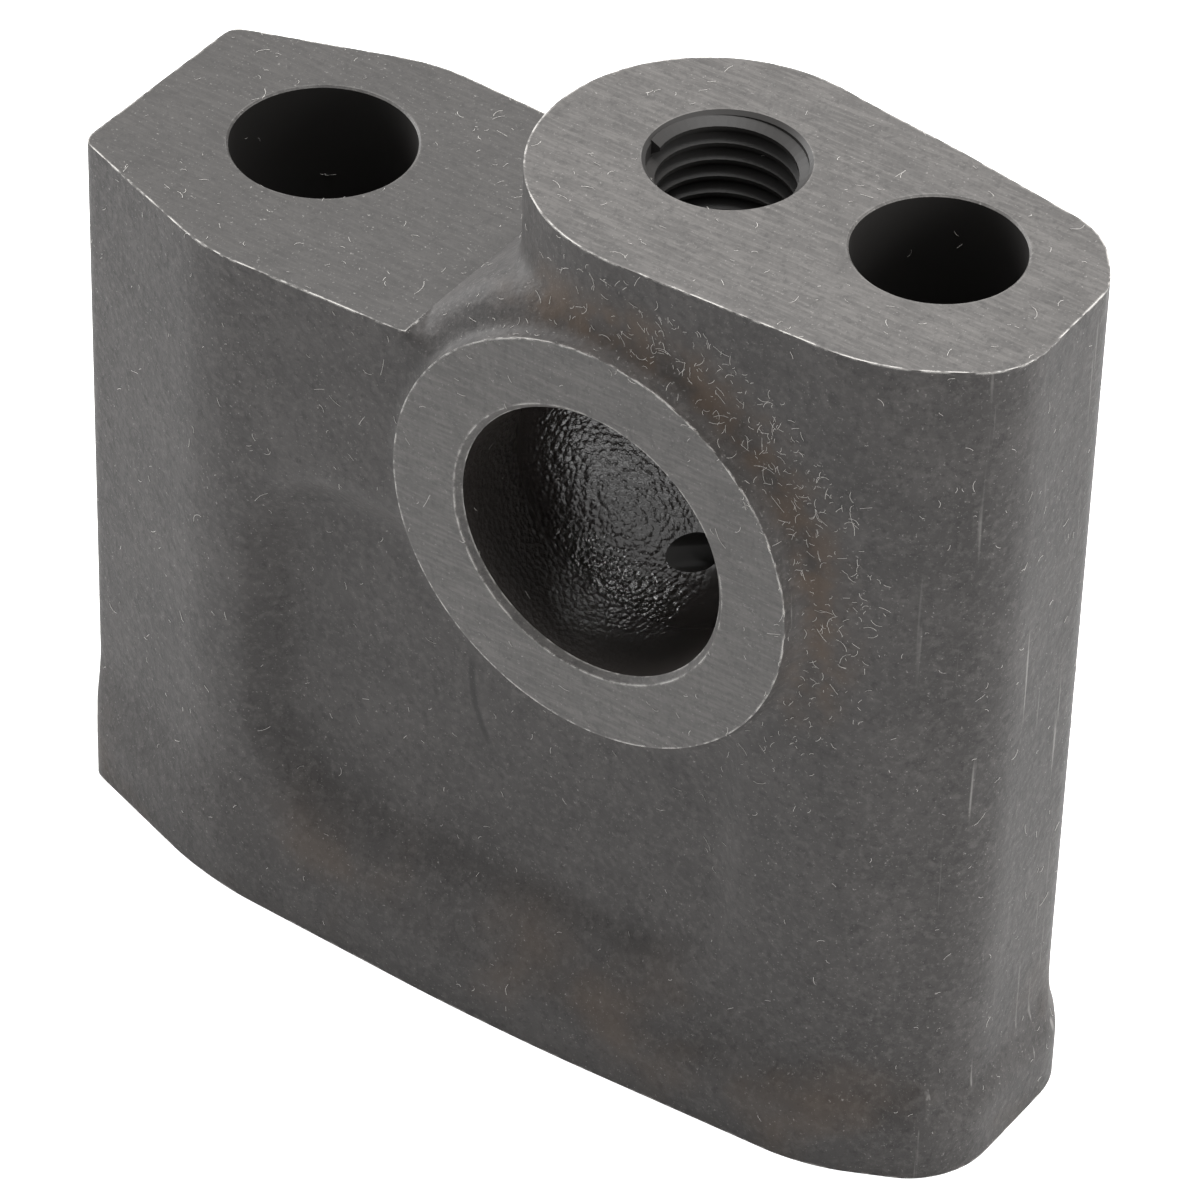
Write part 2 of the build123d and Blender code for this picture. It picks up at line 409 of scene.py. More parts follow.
def machined_finish(c):
    """Coated machined face with cutter marks and bright nicked edges, and painted shade on the low pad."""
    finish = Finish("machined_face", c.machined, 0.52, 0.35)
    x, y, z = finish.split(finish.place)
    sweep = finish.radius(finish.less(x, MILL_X), finish.less(y, MILL_Y))
    cloud = finish.noise(260.0, 4.0, 0.65)
    marks = finish.maths("SINE", finish.add(finish.times(sweep, MARKS_PER_METRE), finish.times(cloud, 22.0)))
    face = finish.mix(finish.ramp(marks, -1.0, 1.0, 0.38, 0.62), shade(c.machined, 0.86),
                      shade(c.machined, 1.16))
    face = finish.mix(finish.ramp(cloud, 0.35, 0.7, 0.0, 0.55), face, shade(c.machined, 0.62))
    brushed = finish.noise(2600.0, 3.0, 0.7, finish.moved(scale=(0.10, 1.0, 1.0),
                                                          rotation=(0, 0, math.radians(-32))))
    face = finish.mix(finish.ramp(brushed, 0.40, 0.68, 0.0, 0.55), face, shade(c.machined, 1.75))
    grit = finish.noise(1500.0, 4.0, 0.75, finish.moved((0.5, 0.2, 0.1)))
    face = finish.mix(finish.ramp(grit, 0.52, 0.30, 0.0, 0.6), face, shade(c.machined, 0.45))
    # painted shade: the low pad, below the raised pad and behind the ring's face, is painted darker
    low_pad = finish.times(finish.ramp(z, *LOW_PAD_SHADE_BELOW), finish.ramp(y, *LOW_PAD_SHADE_BEHIND))
    face = finish.mix(finish.times(low_pad, 0.55), face, shade(c.machined, 0.3))
    face = specks(finish, face, c.bare, 1.2)
    nick = nicks(finish, 650.0, 0.43, 0.58, 0.05, 0.80)
    for name in ("low_bolt_hole", "high_bolt_hole", "threaded_hole"):
        nick = finish.times(nick, rim_quiet(finish, x, y, name))
    finish.colour(finish.mix(nick, face, c.bare))
    finish.bump(finish.add(finish.times(marks, 0.05), finish.noise(1400.0, 3.0, 0.6)), 0.08 * MM, 0.7)
    return finish.material


def cavity_finish(c):
    """Glossy dark cast end of the bore, lumpy on one side and smoother on the other; its dark colour also
    holds painted shade of the bore.
    """
    finish = Finish("cavity_skin", c.cavity, 0.20, 1.0)
    x, y, z = finish.split(finish.place)
    lumps = finish.add(finish.times(finish.cells(2300.0), 0.8),
                       finish.times(finish.noise(1500.0, 3.0, 0.6), 1.2))
    away = finish.add(finish.less(x, BOSS_X), finish.times(finish.less(z, BOSS_Z), 0.5))
    away = finish.add(away, finish.times(finish.noise(500.0), 4.0 * MM))
    rough_side = finish.ramp(away, *DISH_ROUGH_SIDE, 0.06, 1.0)
    deep = finish.ramp(y, *DISH_ROUGH_DEEP, 0.35, 1.0)
    finish.bump(finish.times(lumps, rough_side, deep), 0.16 * MM, 0.9)
    finish.gloss(finish.ramp(y, *DISH_GLOSS_DEEP, 0.34, 0.20))
    return finish.material


def hole_finish(c):
    """Dull drilled wall whose colour is darkened below the machined face's: painted shade inside the hole."""
    # painted shade: the hole's colour is the machined colour darkened
    finish = Finish("hole_wall", shade(c.machined, 0.35), 0.50, 0.25)
    finish.bump(finish.noise(900.0, 2.0), 0.04 * MM, 0.4)
    return finish.material


def lint_finish(c):
    """Pale fibre."""
    return Finish("lint", c.lint, 0.8, 0.2).material


# ---------------------------------------------------------------- mesh helpers

ROUND_SEGMENTS = 14             # edges in each rounded corner
SAME_PLACE = 1e-7               # vertices nearer than this are one

def finish_mesh(bm, name, materials=()):
    """Turns a bmesh into an object that stands at the origin."""
    mesh = bpy.data.meshes.new(name)
    bm.to_mesh(mesh)
    bm.free()
    piece = bpy.data.objects.new(name, mesh)
    bpy.context.scene.collection.objects.link(piece)
    for material in materials:
        mesh.materials.append(material)
    return piece


def bake_modifiers(piece):
    """Puts what the modifiers make into the mesh itself."""
    depsgraph = bpy.context.evaluated_depsgraph_get()
    mesh = bpy.data.meshes.new_from_object(piece.evaluated_get(depsgraph), depsgraph=depsgraph)
    old = piece.data
    piece.modifiers.clear()
    piece.data = mesh
    mesh.name = piece.name
    bpy.data.meshes.remove(old)


def combine(piece, other, operation):
    """Boolean with a closed piece, which is then removed; its faces keep their own material."""
    step = piece.modifiers.new("combine", "BOOLEAN")
    step.operation = operation
    step.solver = "MANIFOLD"
    step.material_mode = "TRANSFER"
    step.object = other
    bake_modifiers(piece)
    old = other.data
    bpy.data.objects.remove(other)
    bpy.data.meshes.remove(old)


def cut(piece, cutter):
    combine(piece, cutter, "DIFFERENCE")


def join(piece, other):
    combine(piece, other, "UNION")


def round_plan(bm, corners, rounds, z):
    """Adds a flat face whose corners are rounded: corners and rounds run the same way round."""
    verts = [bm.verts.new((x, y, z)) for x, y in corners]
    bm.faces.new(verts)
    count = len(corners)
    for index, radius in enumerate(rounds):
        if not radius:
            continue
        here = Vector(corners[index])
        before = Vector(corners[index - 1]) - here
        after = Vector(corners[(index + 1) % count]) - here
        half_angle = before.angle(after) / 2
        bmesh.ops.bevel(bm, geom=[verts[index]], offset=radius / math.tan(half_angle),
                        offset_type="OFFSET", segments=ROUND_SEGMENTS, profile=0.5,
                        affect="VERTICES", material=-1)


def draw_out(bm, along):
    """Draws a flat face out along a vector into a closed solid."""
    made = bmesh.ops.extrude_face_region(bm, geom=bm.faces[:])
    far = [v for v in made["geom"] if isinstance(v, bmesh.types.BMVert)]
    bmesh.ops.translate(bm, verts=far, vec=along)
    bmesh.ops.recalc_face_normals(bm, faces=bm.faces[:])


def box(low, high, name, materials=()):
    """A closed box between two corners."""
    bm = bmesh.new()
    bmesh.ops.create_cube(bm, size=1.0)
    size = [high[i] - low[i] for i in range(3)]
    middle = [(high[i] + low[i]) / 2 for i in range(3)]
    bmesh.ops.scale(bm, vec=size, verts=bm.verts[:])
    bmesh.ops.translate(bm, vec=middle, verts=bm.verts[:])
    return finish_mesh(bm, name, materials)


def prism(corners, rounds, z_low, z_high, name):
    """A rounded plan outline drawn up from one height to another."""
    bm = bmesh.new()
    round_plan(bm, corners, rounds, z_low)
    draw_out(bm, (0, 0, z_high - z_low))
    return finish_mesh(bm, name)


def flare(low_corners, low_rounds, high_corners, high_rounds, z_low, z_high, name):
    """A solid that runs from one rounded outline to another above it."""
    bm = bmesh.new()
    round_plan(bm, low_corners, low_rounds, z_low)
    round_plan(bm, high_corners, high_rounds, z_high)
    halfway = (z_low + z_high) / 2
    high = [edge for edge in bm.edges if edge.verts[0].co.z > halfway]
    low = [edge for edge in bm.edges if edge.verts[0].co.z <= halfway]
    bmesh.ops.bridge_loops(bm, edges=low + high)
    bmesh.ops.recalc_face_normals(bm, faces=bm.faces[:])
    return finish_mesh(bm, name)


def turned(profile, centre, axis, name, materials=(), second_below=None, steps=96):
    """A solid of revolution: profile holds (radius, distance along the axis) from pole to pole.

    Faces nearer along the axis than second_below get the second material.
    """
    bm = bmesh.new()
    verts = [bm.verts.new((radius, 0, along)) for radius, along in profile]
    edges = [bm.edges.new(pair) for pair in zip(verts, verts[1:])]
    bmesh.ops.spin(bm, geom=verts + edges, cent=(0, 0, 0), axis=(0, 0, 1), dvec=(0, 0, 0),
                   angle=math.tau, steps=steps, use_merge=True, use_duplicate=False)
    bmesh.ops.remove_doubles(bm, verts=bm.verts[:], dist=SAME_PLACE)
    bmesh.ops.recalc_face_normals(bm, faces=bm.faces[:])
    if second_below is not None:
        for face in bm.faces:
            face.material_index = int(face.calc_center_median().z < second_below)
    turn = Vector((0, 0, 1)).rotation_difference(Vector(axis)).to_matrix().to_4x4()
    bmesh.ops.transform(bm, matrix=Matrix.Translation(centre) @ turn, verts=bm.verts[:])
    return finish_mesh(bm, name, materials)


def arc(centre, radius, start, end, count=10):
    """Points on an arc, angles in degrees."""
    return [(centre[0] + radius * math.cos(math.radians(start + (end - start) * i / count)),
             centre[1] + radius * math.sin(math.radians(start + (end - start) * i / count)))
            for i in range(count + 1)]


# ---------------------------------------------------------------- casting

# what the machining takes off, how far its cutters run out, and the edges that it leaves
STOCK = 2.0 * MM
REACH = 90.0 * MM
HOLE_EDGE = 0.15 * MM
THREAD_EDGE = 0.3 * MM
MACHINED_MOUTH = 1.0 * MM       # how far into a hole the machined finish reaches
OUT_OF_BOSS = (0, -1, 0)
UP = (0, 0, 1)

# roundings in plan, from the low end along the front to the raised end and back again
LOW_ROUND, SHOULDER_ROUND = 0.3 * MM, 14.0 * MM
FOOT_SHOULDER_ROUND, FOOT_MIDDLE_ROUND = 30.0 * MM, 200.0 * MM
WALL_ROUNDS = (LOW_ROUND, SHOULDER_ROUND, 14.0 * MM, 5.5 * MM, 4.5 * MM, 6.0 * MM, 25.0 * MM, 20.0 * MM,
               SHOULDER_ROUND, LOW_ROUND)
COLUMN_ROUNDS = (0,) + WALL_ROUNDS[2:7] + (0,)
FOOT_ROUNDS = (LOW_ROUND, FOOT_SHOULDER_ROUND, FOOT_MIDDLE_ROUND, 16.0 * MM, 7.0 * MM, 5.0 * MM, 10.0 * MM,
               FOOT_MIDDLE_ROUND, FOOT_SHOULDER_ROUND, LOW_ROUND)

# corners of the raised end in plan: how far each lies in from the end, and in from its side
WALL_END_FRONT = ((8.8 * MM, 0.0), (0.2 * MM, 5.7 * MM))
WALL_END_BACK = ((0.6 * MM, 7.5 * MM), (4.4 * MM, 2.3 * MM), (18.3 * MM, 0.0))
FOOT_END_FRONT = ((10.5 * MM, 1.5 * MM), (0.0, 6.5 * MM))
FOOT_END_BACK = ((0.0, 12.2 * MM), (4.2 * MM, 6.2 * MM))
BACK_WALL_Y = 13.6 * MM         # back wall beside the threaded hole

RELIEF_CORNER = 6.0 * MM
RELIEF_SLOPE_RUN, RELIEF_SLOPE_RISE = 4.8 * MM, 3.2 * MM
DRUM_ROUND = 3.0 * MM
RING_LAND = 0.3 * MM            # straight edge of the ring in front of its concave foot
COLUMN_CLEAR = 0.9 * MM         # left between the low pad's cutter and the column
DISH_CROWN, DISH_KNUCKLE = 16.0 * MM, 6.0 * MM
MOUTH_RUN_OUT = 1.5 * MM        # how far the chamfer's cutter runs past the ring's face
PASSAGE_TURN = math.radians(43)
PASSAGE_MOUTH = Vector((11.08, -2.58, 42.83)) * MM
PASSAGE_RADIUS = 1.5 * MM
PASSAGE_RUN_IN, PASSAGE_RUN = 6.0 * MM, 12.0 * MM


def end_corners(x, front, back, front_insets, back_insets):
    """Corners of the raised end in plan, from its front side round to its back."""
    return ([(x - inset, front + side) for inset, side in front_insets]
            + [(x - inset, back - side) for inset, side in back_insets])


def raised_end_corners(s):
    """The walls of the raised end: a facet at the front corner, a flat end and a drawn-in back."""
    return end_corners(s.high_end_x, -s.high_end_half, s.high_back_half, WALL_END_FRONT, WALL_END_BACK)


def wall_corners(s):
    """The walls in plan, from the front corner of the low end round to its back corner."""
    return ([(s.low_end_x, -s.low_end_half), (s.shoulder_x, -s.shoulder_half)] + raised_end_corners(s)
            + [(THREAD_X, BACK_WALL_Y), (s.shoulder_x, s.shoulder_half), (s.low_end_x, s.low_end_half)])


def foot_corners(s):
    """The foot in plan, in the same order."""
    half, shoulder = s.foot_half, s.foot_shoulder_half
    return ([(s.foot_low_x, -s.foot_low_half), (s.shoulder_x, -shoulder), (s.foot_middle_x, -half)]
            + end_corners(s.foot_end_x, -half, half, FOOT_END_FRONT, FOOT_END_BACK)
            + [(s.foot_middle_x, half), (s.shoulder_x, shoulder), (s.foot_low_x, s.foot_low_half)])


def half_width_at(s, x):
    """Half width of the walls at a place right of the shoulder."""
    share = (x - s.shoulder_x) / (s.high_end_x - s.shoulder_x)
    return s.shoulder_half + share * (s.high_end_half - s.shoulder_half)


def flank_x(s):
    """Where the drum's flank comes down to the low pad."""
    return BOSS_X - math.sqrt(s.drum_radius ** 2 - (s.low_pad_z - BOSS_Z) ** 2)


def relief_cutter(s):
    """Shallow cast relief in the front wall, with sloped sides."""
    def outline(grow):
        left, right = s.relief_left - grow, s.relief_right + grow
        bottom, top = s.relief_bottom - grow, s.relief_top + grow
        return [(left, bottom), (right, bottom), (right, top), (left, top)]

    floor = -s.relief_floor_y
    cutter = flare(outline(0), (RELIEF_CORNER,) * 4, outline(RELIEF_SLOPE_RUN),
                   (RELIEF_CORNER + RELIEF_SLOPE_RUN,) * 4, floor, floor + RELIEF_SLOPE_RISE, "relief")
    cutter.data.transform(Matrix.Rotation(math.radians(90), 4, "X"))
    return cutter


def add_foot(body, s):
    """The spread foot and the flare that runs from it into the walls."""
    foot = foot_corners(s)
    join(body, prism(foot, FOOT_ROUNDS, -STOCK, s.foot_edge, "foot"))
    join(body, flare(foot, FOOT_ROUNDS, wall_corners(s), WALL_ROUNDS, s.foot_edge, s.flare_top, "flare"))


def add_column(body, s):
    """The raised column, with a full round at the end over the low block."""
    half = half_width_at(s, THREAD_X)
    low, high = s.low_pad_z - STOCK, s.high_pad_z + STOCK
    plan = [(THREAD_X, -half)] + raised_end_corners(s) + [(THREAD_X, half)]
    join(body, prism(plan, COLUMN_ROUNDS, low, high, "column"))
    section = [(0, low), (half, low), (half, high), (0, high)]
    join(body, turned(section, (THREAD_X, 0, 0), UP, "column_end"))


def add_drum(body, s):
    """The half of the drum that stands out towards the low end."""
    outer, front, back = s.drum_radius, half_width_at(s, THREAD_X), -s.drum_back
    drum = turned([(0, back)] + arc((outer - DRUM_ROUND, back + DRUM_ROUND), DRUM_ROUND, -90, 0)
                  + arc((outer - DRUM_ROUND, front - DRUM_ROUND), DRUM_ROUND, 0, 90) + [(0, front)],
                  BOSS_CENTRE, OUT_OF_BOSS, "drum", steps=144)
    cut(drum, box((BOSS_X, -REACH, -REACH), (REACH, REACH, REACH), "right_of_boss"))
    join(body, drum)


def add_ring(body, s):
    """The ring with stock on its face and a concave foot."""
    face, foot_radius = -RING_Y, s.ring_radius + s.ring_foot
    join(body, turned([(0, 0), (foot_radius, 0)] + arc((foot_radius, face - RING_LAND), s.ring_foot, 270, 180)
                      + [(s.ring_radius, face + STOCK), (0, face + STOCK)],
                      BOSS_CENTRE, OUT_OF_BOSS, "ring", steps=144))


def lay_skin(body, s):
    """Lays one skin over the blank and relaxes it, which rounds its edges as casting does."""
    skin = body.modifiers.new("skin", "REMESH")
    skin.mode = "VOXEL"
    skin.voxel_size = s.grid
    skin.use_smooth_shade = True
    relax = body.modifiers.new("relax", "SMOOTH")
    relax.factor = 0.5
    relax.iterations = s.relax_steps
    bake_modifiers(body)


def cast_blank(s):
    """The raw casting: walls, foot, relief, raised column, drum and ring under one skin."""
    body = prism(wall_corners(s), WALL_ROUNDS, s.foot_edge, s.low_pad_z + STOCK, "casting_body")
    cut(body, box((flank_x(s), -REACH, s.low_pad_z), (REACH, REACH, REACH), "beside_column"))
    add_foot(body, s)
    cut(body, relief_cutter(s))
    add_column(body, s)
    add_drum(body, s)
    add_ring(body, s)
    lay_skin(body, s)
    return body


def low_pad_cutter(s, machined):
    """Mills the low pad, then climbs the drum's flank and stops short of the column."""
    start_x = flank_x(s)
    stop_x = THREAD_X - half_width_at(s, THREAD_X) - COLUMN_CLEAR
    rise = (stop_x - start_x) * (BOSS_X - start_x) / (s.low_pad_z - BOSS_Z)
    section = [(-REACH, s.low_pad_z), (start_x, s.low_pad_z), (stop_x, s.low_pad_z + rise),
               (stop_x, REACH), (-REACH, REACH)]
    bm = bmesh.new()
    bm.faces.new([bm.verts.new((x, -REACH, z)) for x, z in section])
    draw_out(bm, (0, 2 * REACH, 0))
    return finish_mesh(bm, "low_pad", (machined,))


def mill_faces(body, s, machined):
    """The two pads, the foot's underside and the ring's face."""
    face, radius = -RING_Y, s.ring_radius + s.ring_foot
    cut(body, low_pad_cutter(s, machined))
    cut(body, box((-REACH, -REACH, s.high_pad_z), (REACH, REACH, REACH), "raised_pad", (machined,)))
    cut(body, box((-REACH, -REACH, -REACH), (REACH, REACH, 0), "foot_face", (machined,)))
    cut(body, turned([(0, face), (radius, face), (radius, REACH), (0, REACH)],
                     BOSS_CENTRE, OUT_OF_BOSS, "ring_face", (machined,)))


def bore_boss(body, s, machined, cavity):
    """The bore: a chamfered mouth, a straight wall, and a dished end that stays as cast."""
    face = -RING_Y
    bore = mount_radius("boss_bore")
    bore_end = face - s.bore_depth
    turn = math.asin((bore - DISH_KNUCKLE) / (DISH_CROWN - DISH_KNUCKLE))
    crown_centre = bore_end + (DISH_CROWN - DISH_KNUCKLE) * math.cos(turn)
    bend = math.degrees(turn) - 90
    mouth = bore + s.bore_chamfer + MOUTH_RUN_OUT
    profile = (arc((0, crown_centre), DISH_CROWN, -90, bend, 12)
               + arc((bore - DISH_KNUCKLE, bore_end), DISH_KNUCKLE, bend, 0)[1:]
               + [(bore, face - s.bore_chamfer), (mouth, face + MOUTH_RUN_OUT), (mouth, REACH), (0, REACH)])
    # beyond the mouth the straight wall also takes the cavity's darker colour: painted shade in the bore
    cut(body, turned(profile, BOSS_CENTRE, OUT_OF_BOSS, "bore", (machined, cavity),
                     face - MACHINED_MOUTH - s.bore_chamfer, steps=192))


def hole_cutter(name, low, top, radius, edge, machined_above, machined, hole):
    """A drill for an upright hole, with a broken edge of this width at the pad."""
    x, y, _ = mount_pos(name)
    profile = [(0, low), (radius, low), (radius, top - edge), (radius + edge, top), (radius + edge, REACH),
               (0, REACH)]
    return turned(profile, (x, y, 0), UP, name, (machined, hole), machined_above, steps=128)


def drill_holes(body, s, machined, hole):
    """The two bolt holes, the hole that the thread is wound into, and the passage."""
    for name, top in (("low_bolt_hole", s.low_pad_z), ("high_bolt_hole", s.high_pad_z)):
        cut(body, hole_cutter(name, -STOCK, top, mount_radius(name), HOLE_EDGE, top - MACHINED_MOUTH,
                              machined, hole))
    # the chamfer of the tapped hole takes the hole's darker colour too, which is painted shade
    cut(body, hole_cutter("threaded_hole", THREAD_LOW, s.high_pad_z, s.thread_major / 2, THREAD_EDGE,
                          s.high_pad_z, machined, hole))
    along = Vector((math.cos(PASSAGE_TURN), math.sin(PASSAGE_TURN), 0))
    profile = [(0, 0), (PASSAGE_RADIUS, 0), (PASSAGE_RADIUS, PASSAGE_RUN), (0, PASSAGE_RUN)]
    cut(body, turned(profile, PASSAGE_MOUTH - PASSAGE_RUN_IN * along, along, "passage", (hole,), steps=48))


class BLOCK_OT_casting(bpy.types.Operator):
    """Build the cast body with its machined faces, bore and holes"""
    bl_idname = "block.casting"
    bl_label = "Casting"

    def execute(self, context):
        s = context.scene.block_sizes
        c = context.scene.block_colours
        body = cast_blank(s)
        body.data.materials.clear()
        body.data.materials.append(cast_finish(c))
        body.data.polygons.foreach_set("material_index", [0] * len(body.data.polygons))
        machined, cavity, hole = machined_finish(c), cavity_finish(c), hole_finish(c)
        mill_faces(body, s, machined)
        bore_boss(body, s, machined, cavity)
        drill_holes(body, s, machined, hole)
        body.data.polygons.foreach_set("use_smooth", [True] * len(body.data.polygons))
        body.data.set_sharp_from_angle(angle=math.radians(35))
        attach(body, "root")
        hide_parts(NODE)
        return {"FINISHED"}


# ---------------------------------------------------------------- thread

TURN_STEPS = 48
CREST_CLEAR, ROOT_BITE = 0.05 * MM, 0.03 * MM   # crest outside the tap drilling, root sunk in the wall
ROOT_SHARE, CREST_SHARE = 0.44, 0.10            # half widths, as shares of the pitch
THREAD_START, THREAD_RUN_OUT = 0.5 * MM, 1.2 * MM


class BLOCK_OT_thread(bpy.types.Operator):
    """Wind the ridge of the thread down the tapped hole"""
    bl_idname = "block.thread"
    bl_label = "Thread"

    def execute(self, context):
        s = context.scene.block_sizes
        crest = mount_radius("threaded_hole") + CREST_CLEAR
        root = s.thread_major / 2 + ROOT_BITE
        half_root, half_crest = ROOT_SHARE * s.thread_pitch, CREST_SHARE * s.thread_pitch
        turns = (s.high_pad_z - THREAD_LOW - THREAD_RUN_OUT) / s.thread_pitch
        start = THREAD_LOW + THREAD_START
        section = [(root, -half_root), (crest, -half_crest), (crest, half_crest), (root, half_root)]
        bm = bmesh.new()
        bm.faces.new([bm.verts.new((radius, 0, start + height)) for radius, height in section])
        bmesh.ops.spin(bm, geom=bm.verts[:] + bm.edges[:] + bm.faces[:], cent=(0, 0, 0), axis=UP,
                       dvec=(0, 0, s.thread_pitch / TURN_STEPS), angle=math.tau * turns,
                       steps=int(TURN_STEPS * turns), use_merge=False, use_duplicate=False)
        bmesh.ops.holes_fill(bm, edges=[edge for edge in bm.edges if edge.is_boundary], sides=4)
        bmesh.ops.recalc_face_normals(bm, faces=bm.faces[:])
        bmesh.ops.translate(bm, verts=bm.verts[:], vec=(THREAD_X, THREAD_Y, 0))
        ridge = finish_mesh(bm, "thread_ridge", (bpy.data.materials["hole_wall"],))
        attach(ridge, "root")
        return {"FINISHED"}


# ---------------------------------------------------------------- lint

RING_SHARE = 0.30               # part of the fibres that lies round the ring
RING_ANGLE, RING_SPREAD = 38, 42        # where round the ring they are thickest, in degrees
RING_NEAR, RING_FAR = 17.0 * MM, 24.0 * MM
RING_START_Y = -0.03
SCATTER_LOW, SCATTER_HIGH = (-0.045, -0.018, 0.002), (0.045, 0.018, 0.08)
CAST_FROM = 0.15                # how far off a fibre starts on its way to the surface
STEEPEST = -0.2                 # fibres don't settle where they would only graze the surface
FIBRE_POINTS = 5
FIBRE_BEND = 0.9
FIBRE_LIFT = 0.02               # greatest rise of each further point, in millimetres


def fibre_aim(draw):
    """Where a fibre starts, and the direction in which it falls."""
    if draw.random() < RING_SHARE:
        angle = math.radians(draw.gauss(RING_ANGLE, RING_SPREAD))
        reach = draw.uniform(RING_NEAR, RING_FAR)
        x, z = BOSS_X + reach * math.cos(angle), BOSS_Z + reach * math.sin(angle)
        return Vector((x, RING_START_Y, z)), Vector((0, 1, 0))
    turn, lift = draw.uniform(0, math.tau), math.asin(draw.uniform(-0.15, 1.0))
    aim = -Vector((math.cos(turn) * math.cos(lift), math.sin(turn) * math.cos(lift), math.sin(lift)))
    spot = Vector([draw.uniform(low, high) for low, high in zip(SCATTER_LOW, SCATTER_HIGH)])
    return spot - aim * CAST_FROM, aim


def lay_fibre(curve, tree, draw, place, normal, settings):
    """One bent fibre that follows the surface from this place."""
    along = normal.orthogonal().normalized()
    along.rotate(Matrix.Rotation(draw.uniform(0, math.tau), 3, normal))
    bend = draw.uniform(-1.0, 1.0) * FIBRE_BEND
    span = min(settings.longest, draw.lognormvariate(math.log(settings.usual), 0.5))
    spline = curve.splines.new("POLY")
    spline.points.add(FIBRE_POINTS - 1)
    for index, point in enumerate(spline.points):
        near, face_normal, _, _ = tree.find_nearest(place)
        rise = settings.thickness * 0.4 + index * draw.uniform(0, FIBRE_LIFT) * MM
        point.co = (*(near + face_normal * rise), 1.0)
        along.rotate(Matrix.Rotation(bend / 2, 3, face_normal))
        place = near + along * span / (FIBRE_POINTS - 1)


class BLOCK_OT_lint(bpy.types.Operator):
    """Scatter short lint fibres over the surface, thickest round the ring"""
    bl_idname = "block.lint"
    bl_label = "Lint"

    def execute(self, context):
        settings = context.scene.block_lint
        draw = random.Random(settings.seed)
        body = bpy.data.objects["casting_body"].data
        tree = BVHTree.FromPolygons([v.co for v in body.vertices], [p.vertices for p in body.polygons])
        curve = bpy.data.curves.new("lint", "CURVE")
        curve.dimensions = "3D"
        curve.bevel_depth = settings.thickness / 2
        curve.bevel_resolution = 0
        while len(curve.splines) < settings.count:
            start, aim = fibre_aim(draw)
            place, normal, _, _ = tree.ray_cast(start, aim)
            if place is not None and normal.dot(aim) <= STEEPEST:
                lay_fibre(curve, tree, draw, place, normal, settings)
        loose = bpy.data.objects.new("lint_curve", curve)
        context.scene.collection.objects.link(loose)
        depsgraph = context.evaluated_depsgraph_get()
        mesh = bpy.data.meshes.new_from_object(loose.evaluated_get(depsgraph), depsgraph=depsgraph)
        bpy.data.objects.remove(loose)
        mesh.materials.clear()
        mesh.materials.append(lint_finish(context.scene.block_colours))
        fibres = bpy.data.objects.new("lint_fibres", mesh)
        context.scene.collection.objects.link(fibres)
        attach(fibres, "root")
        return {"FINISHED"}


# ---------------------------------------------------------------- stage

FLOOR_TONE = (0.86, 0.86, 0.86, 1)
FLOOR_GAP = 0.02 * MM
LIT_POINT = (0, 0, 0.03)
# name, place, size, and power as a share of the key power
SOFTBOXES = (("top", (0.02, 0.12, 0.75), (0.5, 0.5), 1.6), ("left", (-0.75, 0.02, 0.25), (0.5, 0.4), 0.95),
             ("right", (0.75, 0.10, 0.25), (0.4, 0.4), 0.55))


def softbox(name, place, size, power):
    """A soft rectangular lamp that points at the object."""
    light = bpy.data.lights.new(name, "AREA")
    light.shape = "RECTANGLE"
    light.size, light.size_y = size
    light.energy = power
    lamp = bpy.data.objects.new(name, light)
    lamp.location = place
    lamp.rotation_euler = (Vector(LIT_POINT) - Vector(place)).to_track_quat("-Z", "Y").to_euler()
    bpy.context.scene.collection.objects.link(lamp)


def seen_directly(nodes, links):
    """1 for camera, glossy and transmission rays, 0 for the light that falls on the object."""
    path = nodes.new("ShaderNodeLightPath")
    first = nodes.new("ShaderNodeMath")
    second = nodes.new("ShaderNodeMath")
    first.operation = second.operation = "MAXIMUM"
    links.new(path.outputs["Is Camera Ray"], first.inputs[0])
    links.new(path.outputs["Is Glossy Ray"], first.inputs[1])
    links.new(first.outputs[0], second.inputs[0])
    links.new(path.outputs["Is Transmission Ray"], second.inputs[1])
    return second.outputs[0]


def floor_finish(floor_glow):
    """Pale floor that looks white where it is seen, and still takes the object's shadow."""
    pale = bpy.data.materials.new("pale_floor")
    pale.use_nodes = True
    nodes, links = pale.node_tree.nodes, pale.node_tree.links
    nodes.clear()
    diffuse = nodes.new("ShaderNodeBsdfDiffuse")
    diffuse.inputs["Color"].default_value = FLOOR_TONE
    glow = nodes.new("ShaderNodeEmission")
    gain = nodes.new("ShaderNodeMath")
    gain.operation = "MULTIPLY"
    gain.inputs[1].default_value = floor_glow
    links.new(seen_directly(nodes, links), gain.inputs[0])
    links.new(gain.outputs[0], glow.inputs["Strength"])
    both = nodes.new("ShaderNodeAddShader")
    out = nodes.new("ShaderNodeOutputMaterial")
    links.new(diffuse.outputs[0], both.inputs[0])
    links.new(glow.outputs[0], both.inputs[1])
    links.new(both.outputs[0], out.inputs["Surface"])
    return pale


def studio_world(fill):
    """White where it is seen, and an even fill light on the object."""
    world = bpy.data.worlds.new("studio")
    world.use_nodes = True
    nodes, links = world.node_tree.nodes, world.node_tree.links
    backdrop = nodes["Background"]
    backdrop.inputs["Color"].default_value = (1, 1, 1, 1)
    level = nodes.new("ShaderNodeMapRange")
    level.inputs["To Min"].default_value = fill
    level.inputs["To Max"].default_value = 1.0
    links.new(seen_directly(nodes, links), level.inputs["Value"])
    links.new(level.outputs[0], backdrop.inputs["Strength"])
    return world


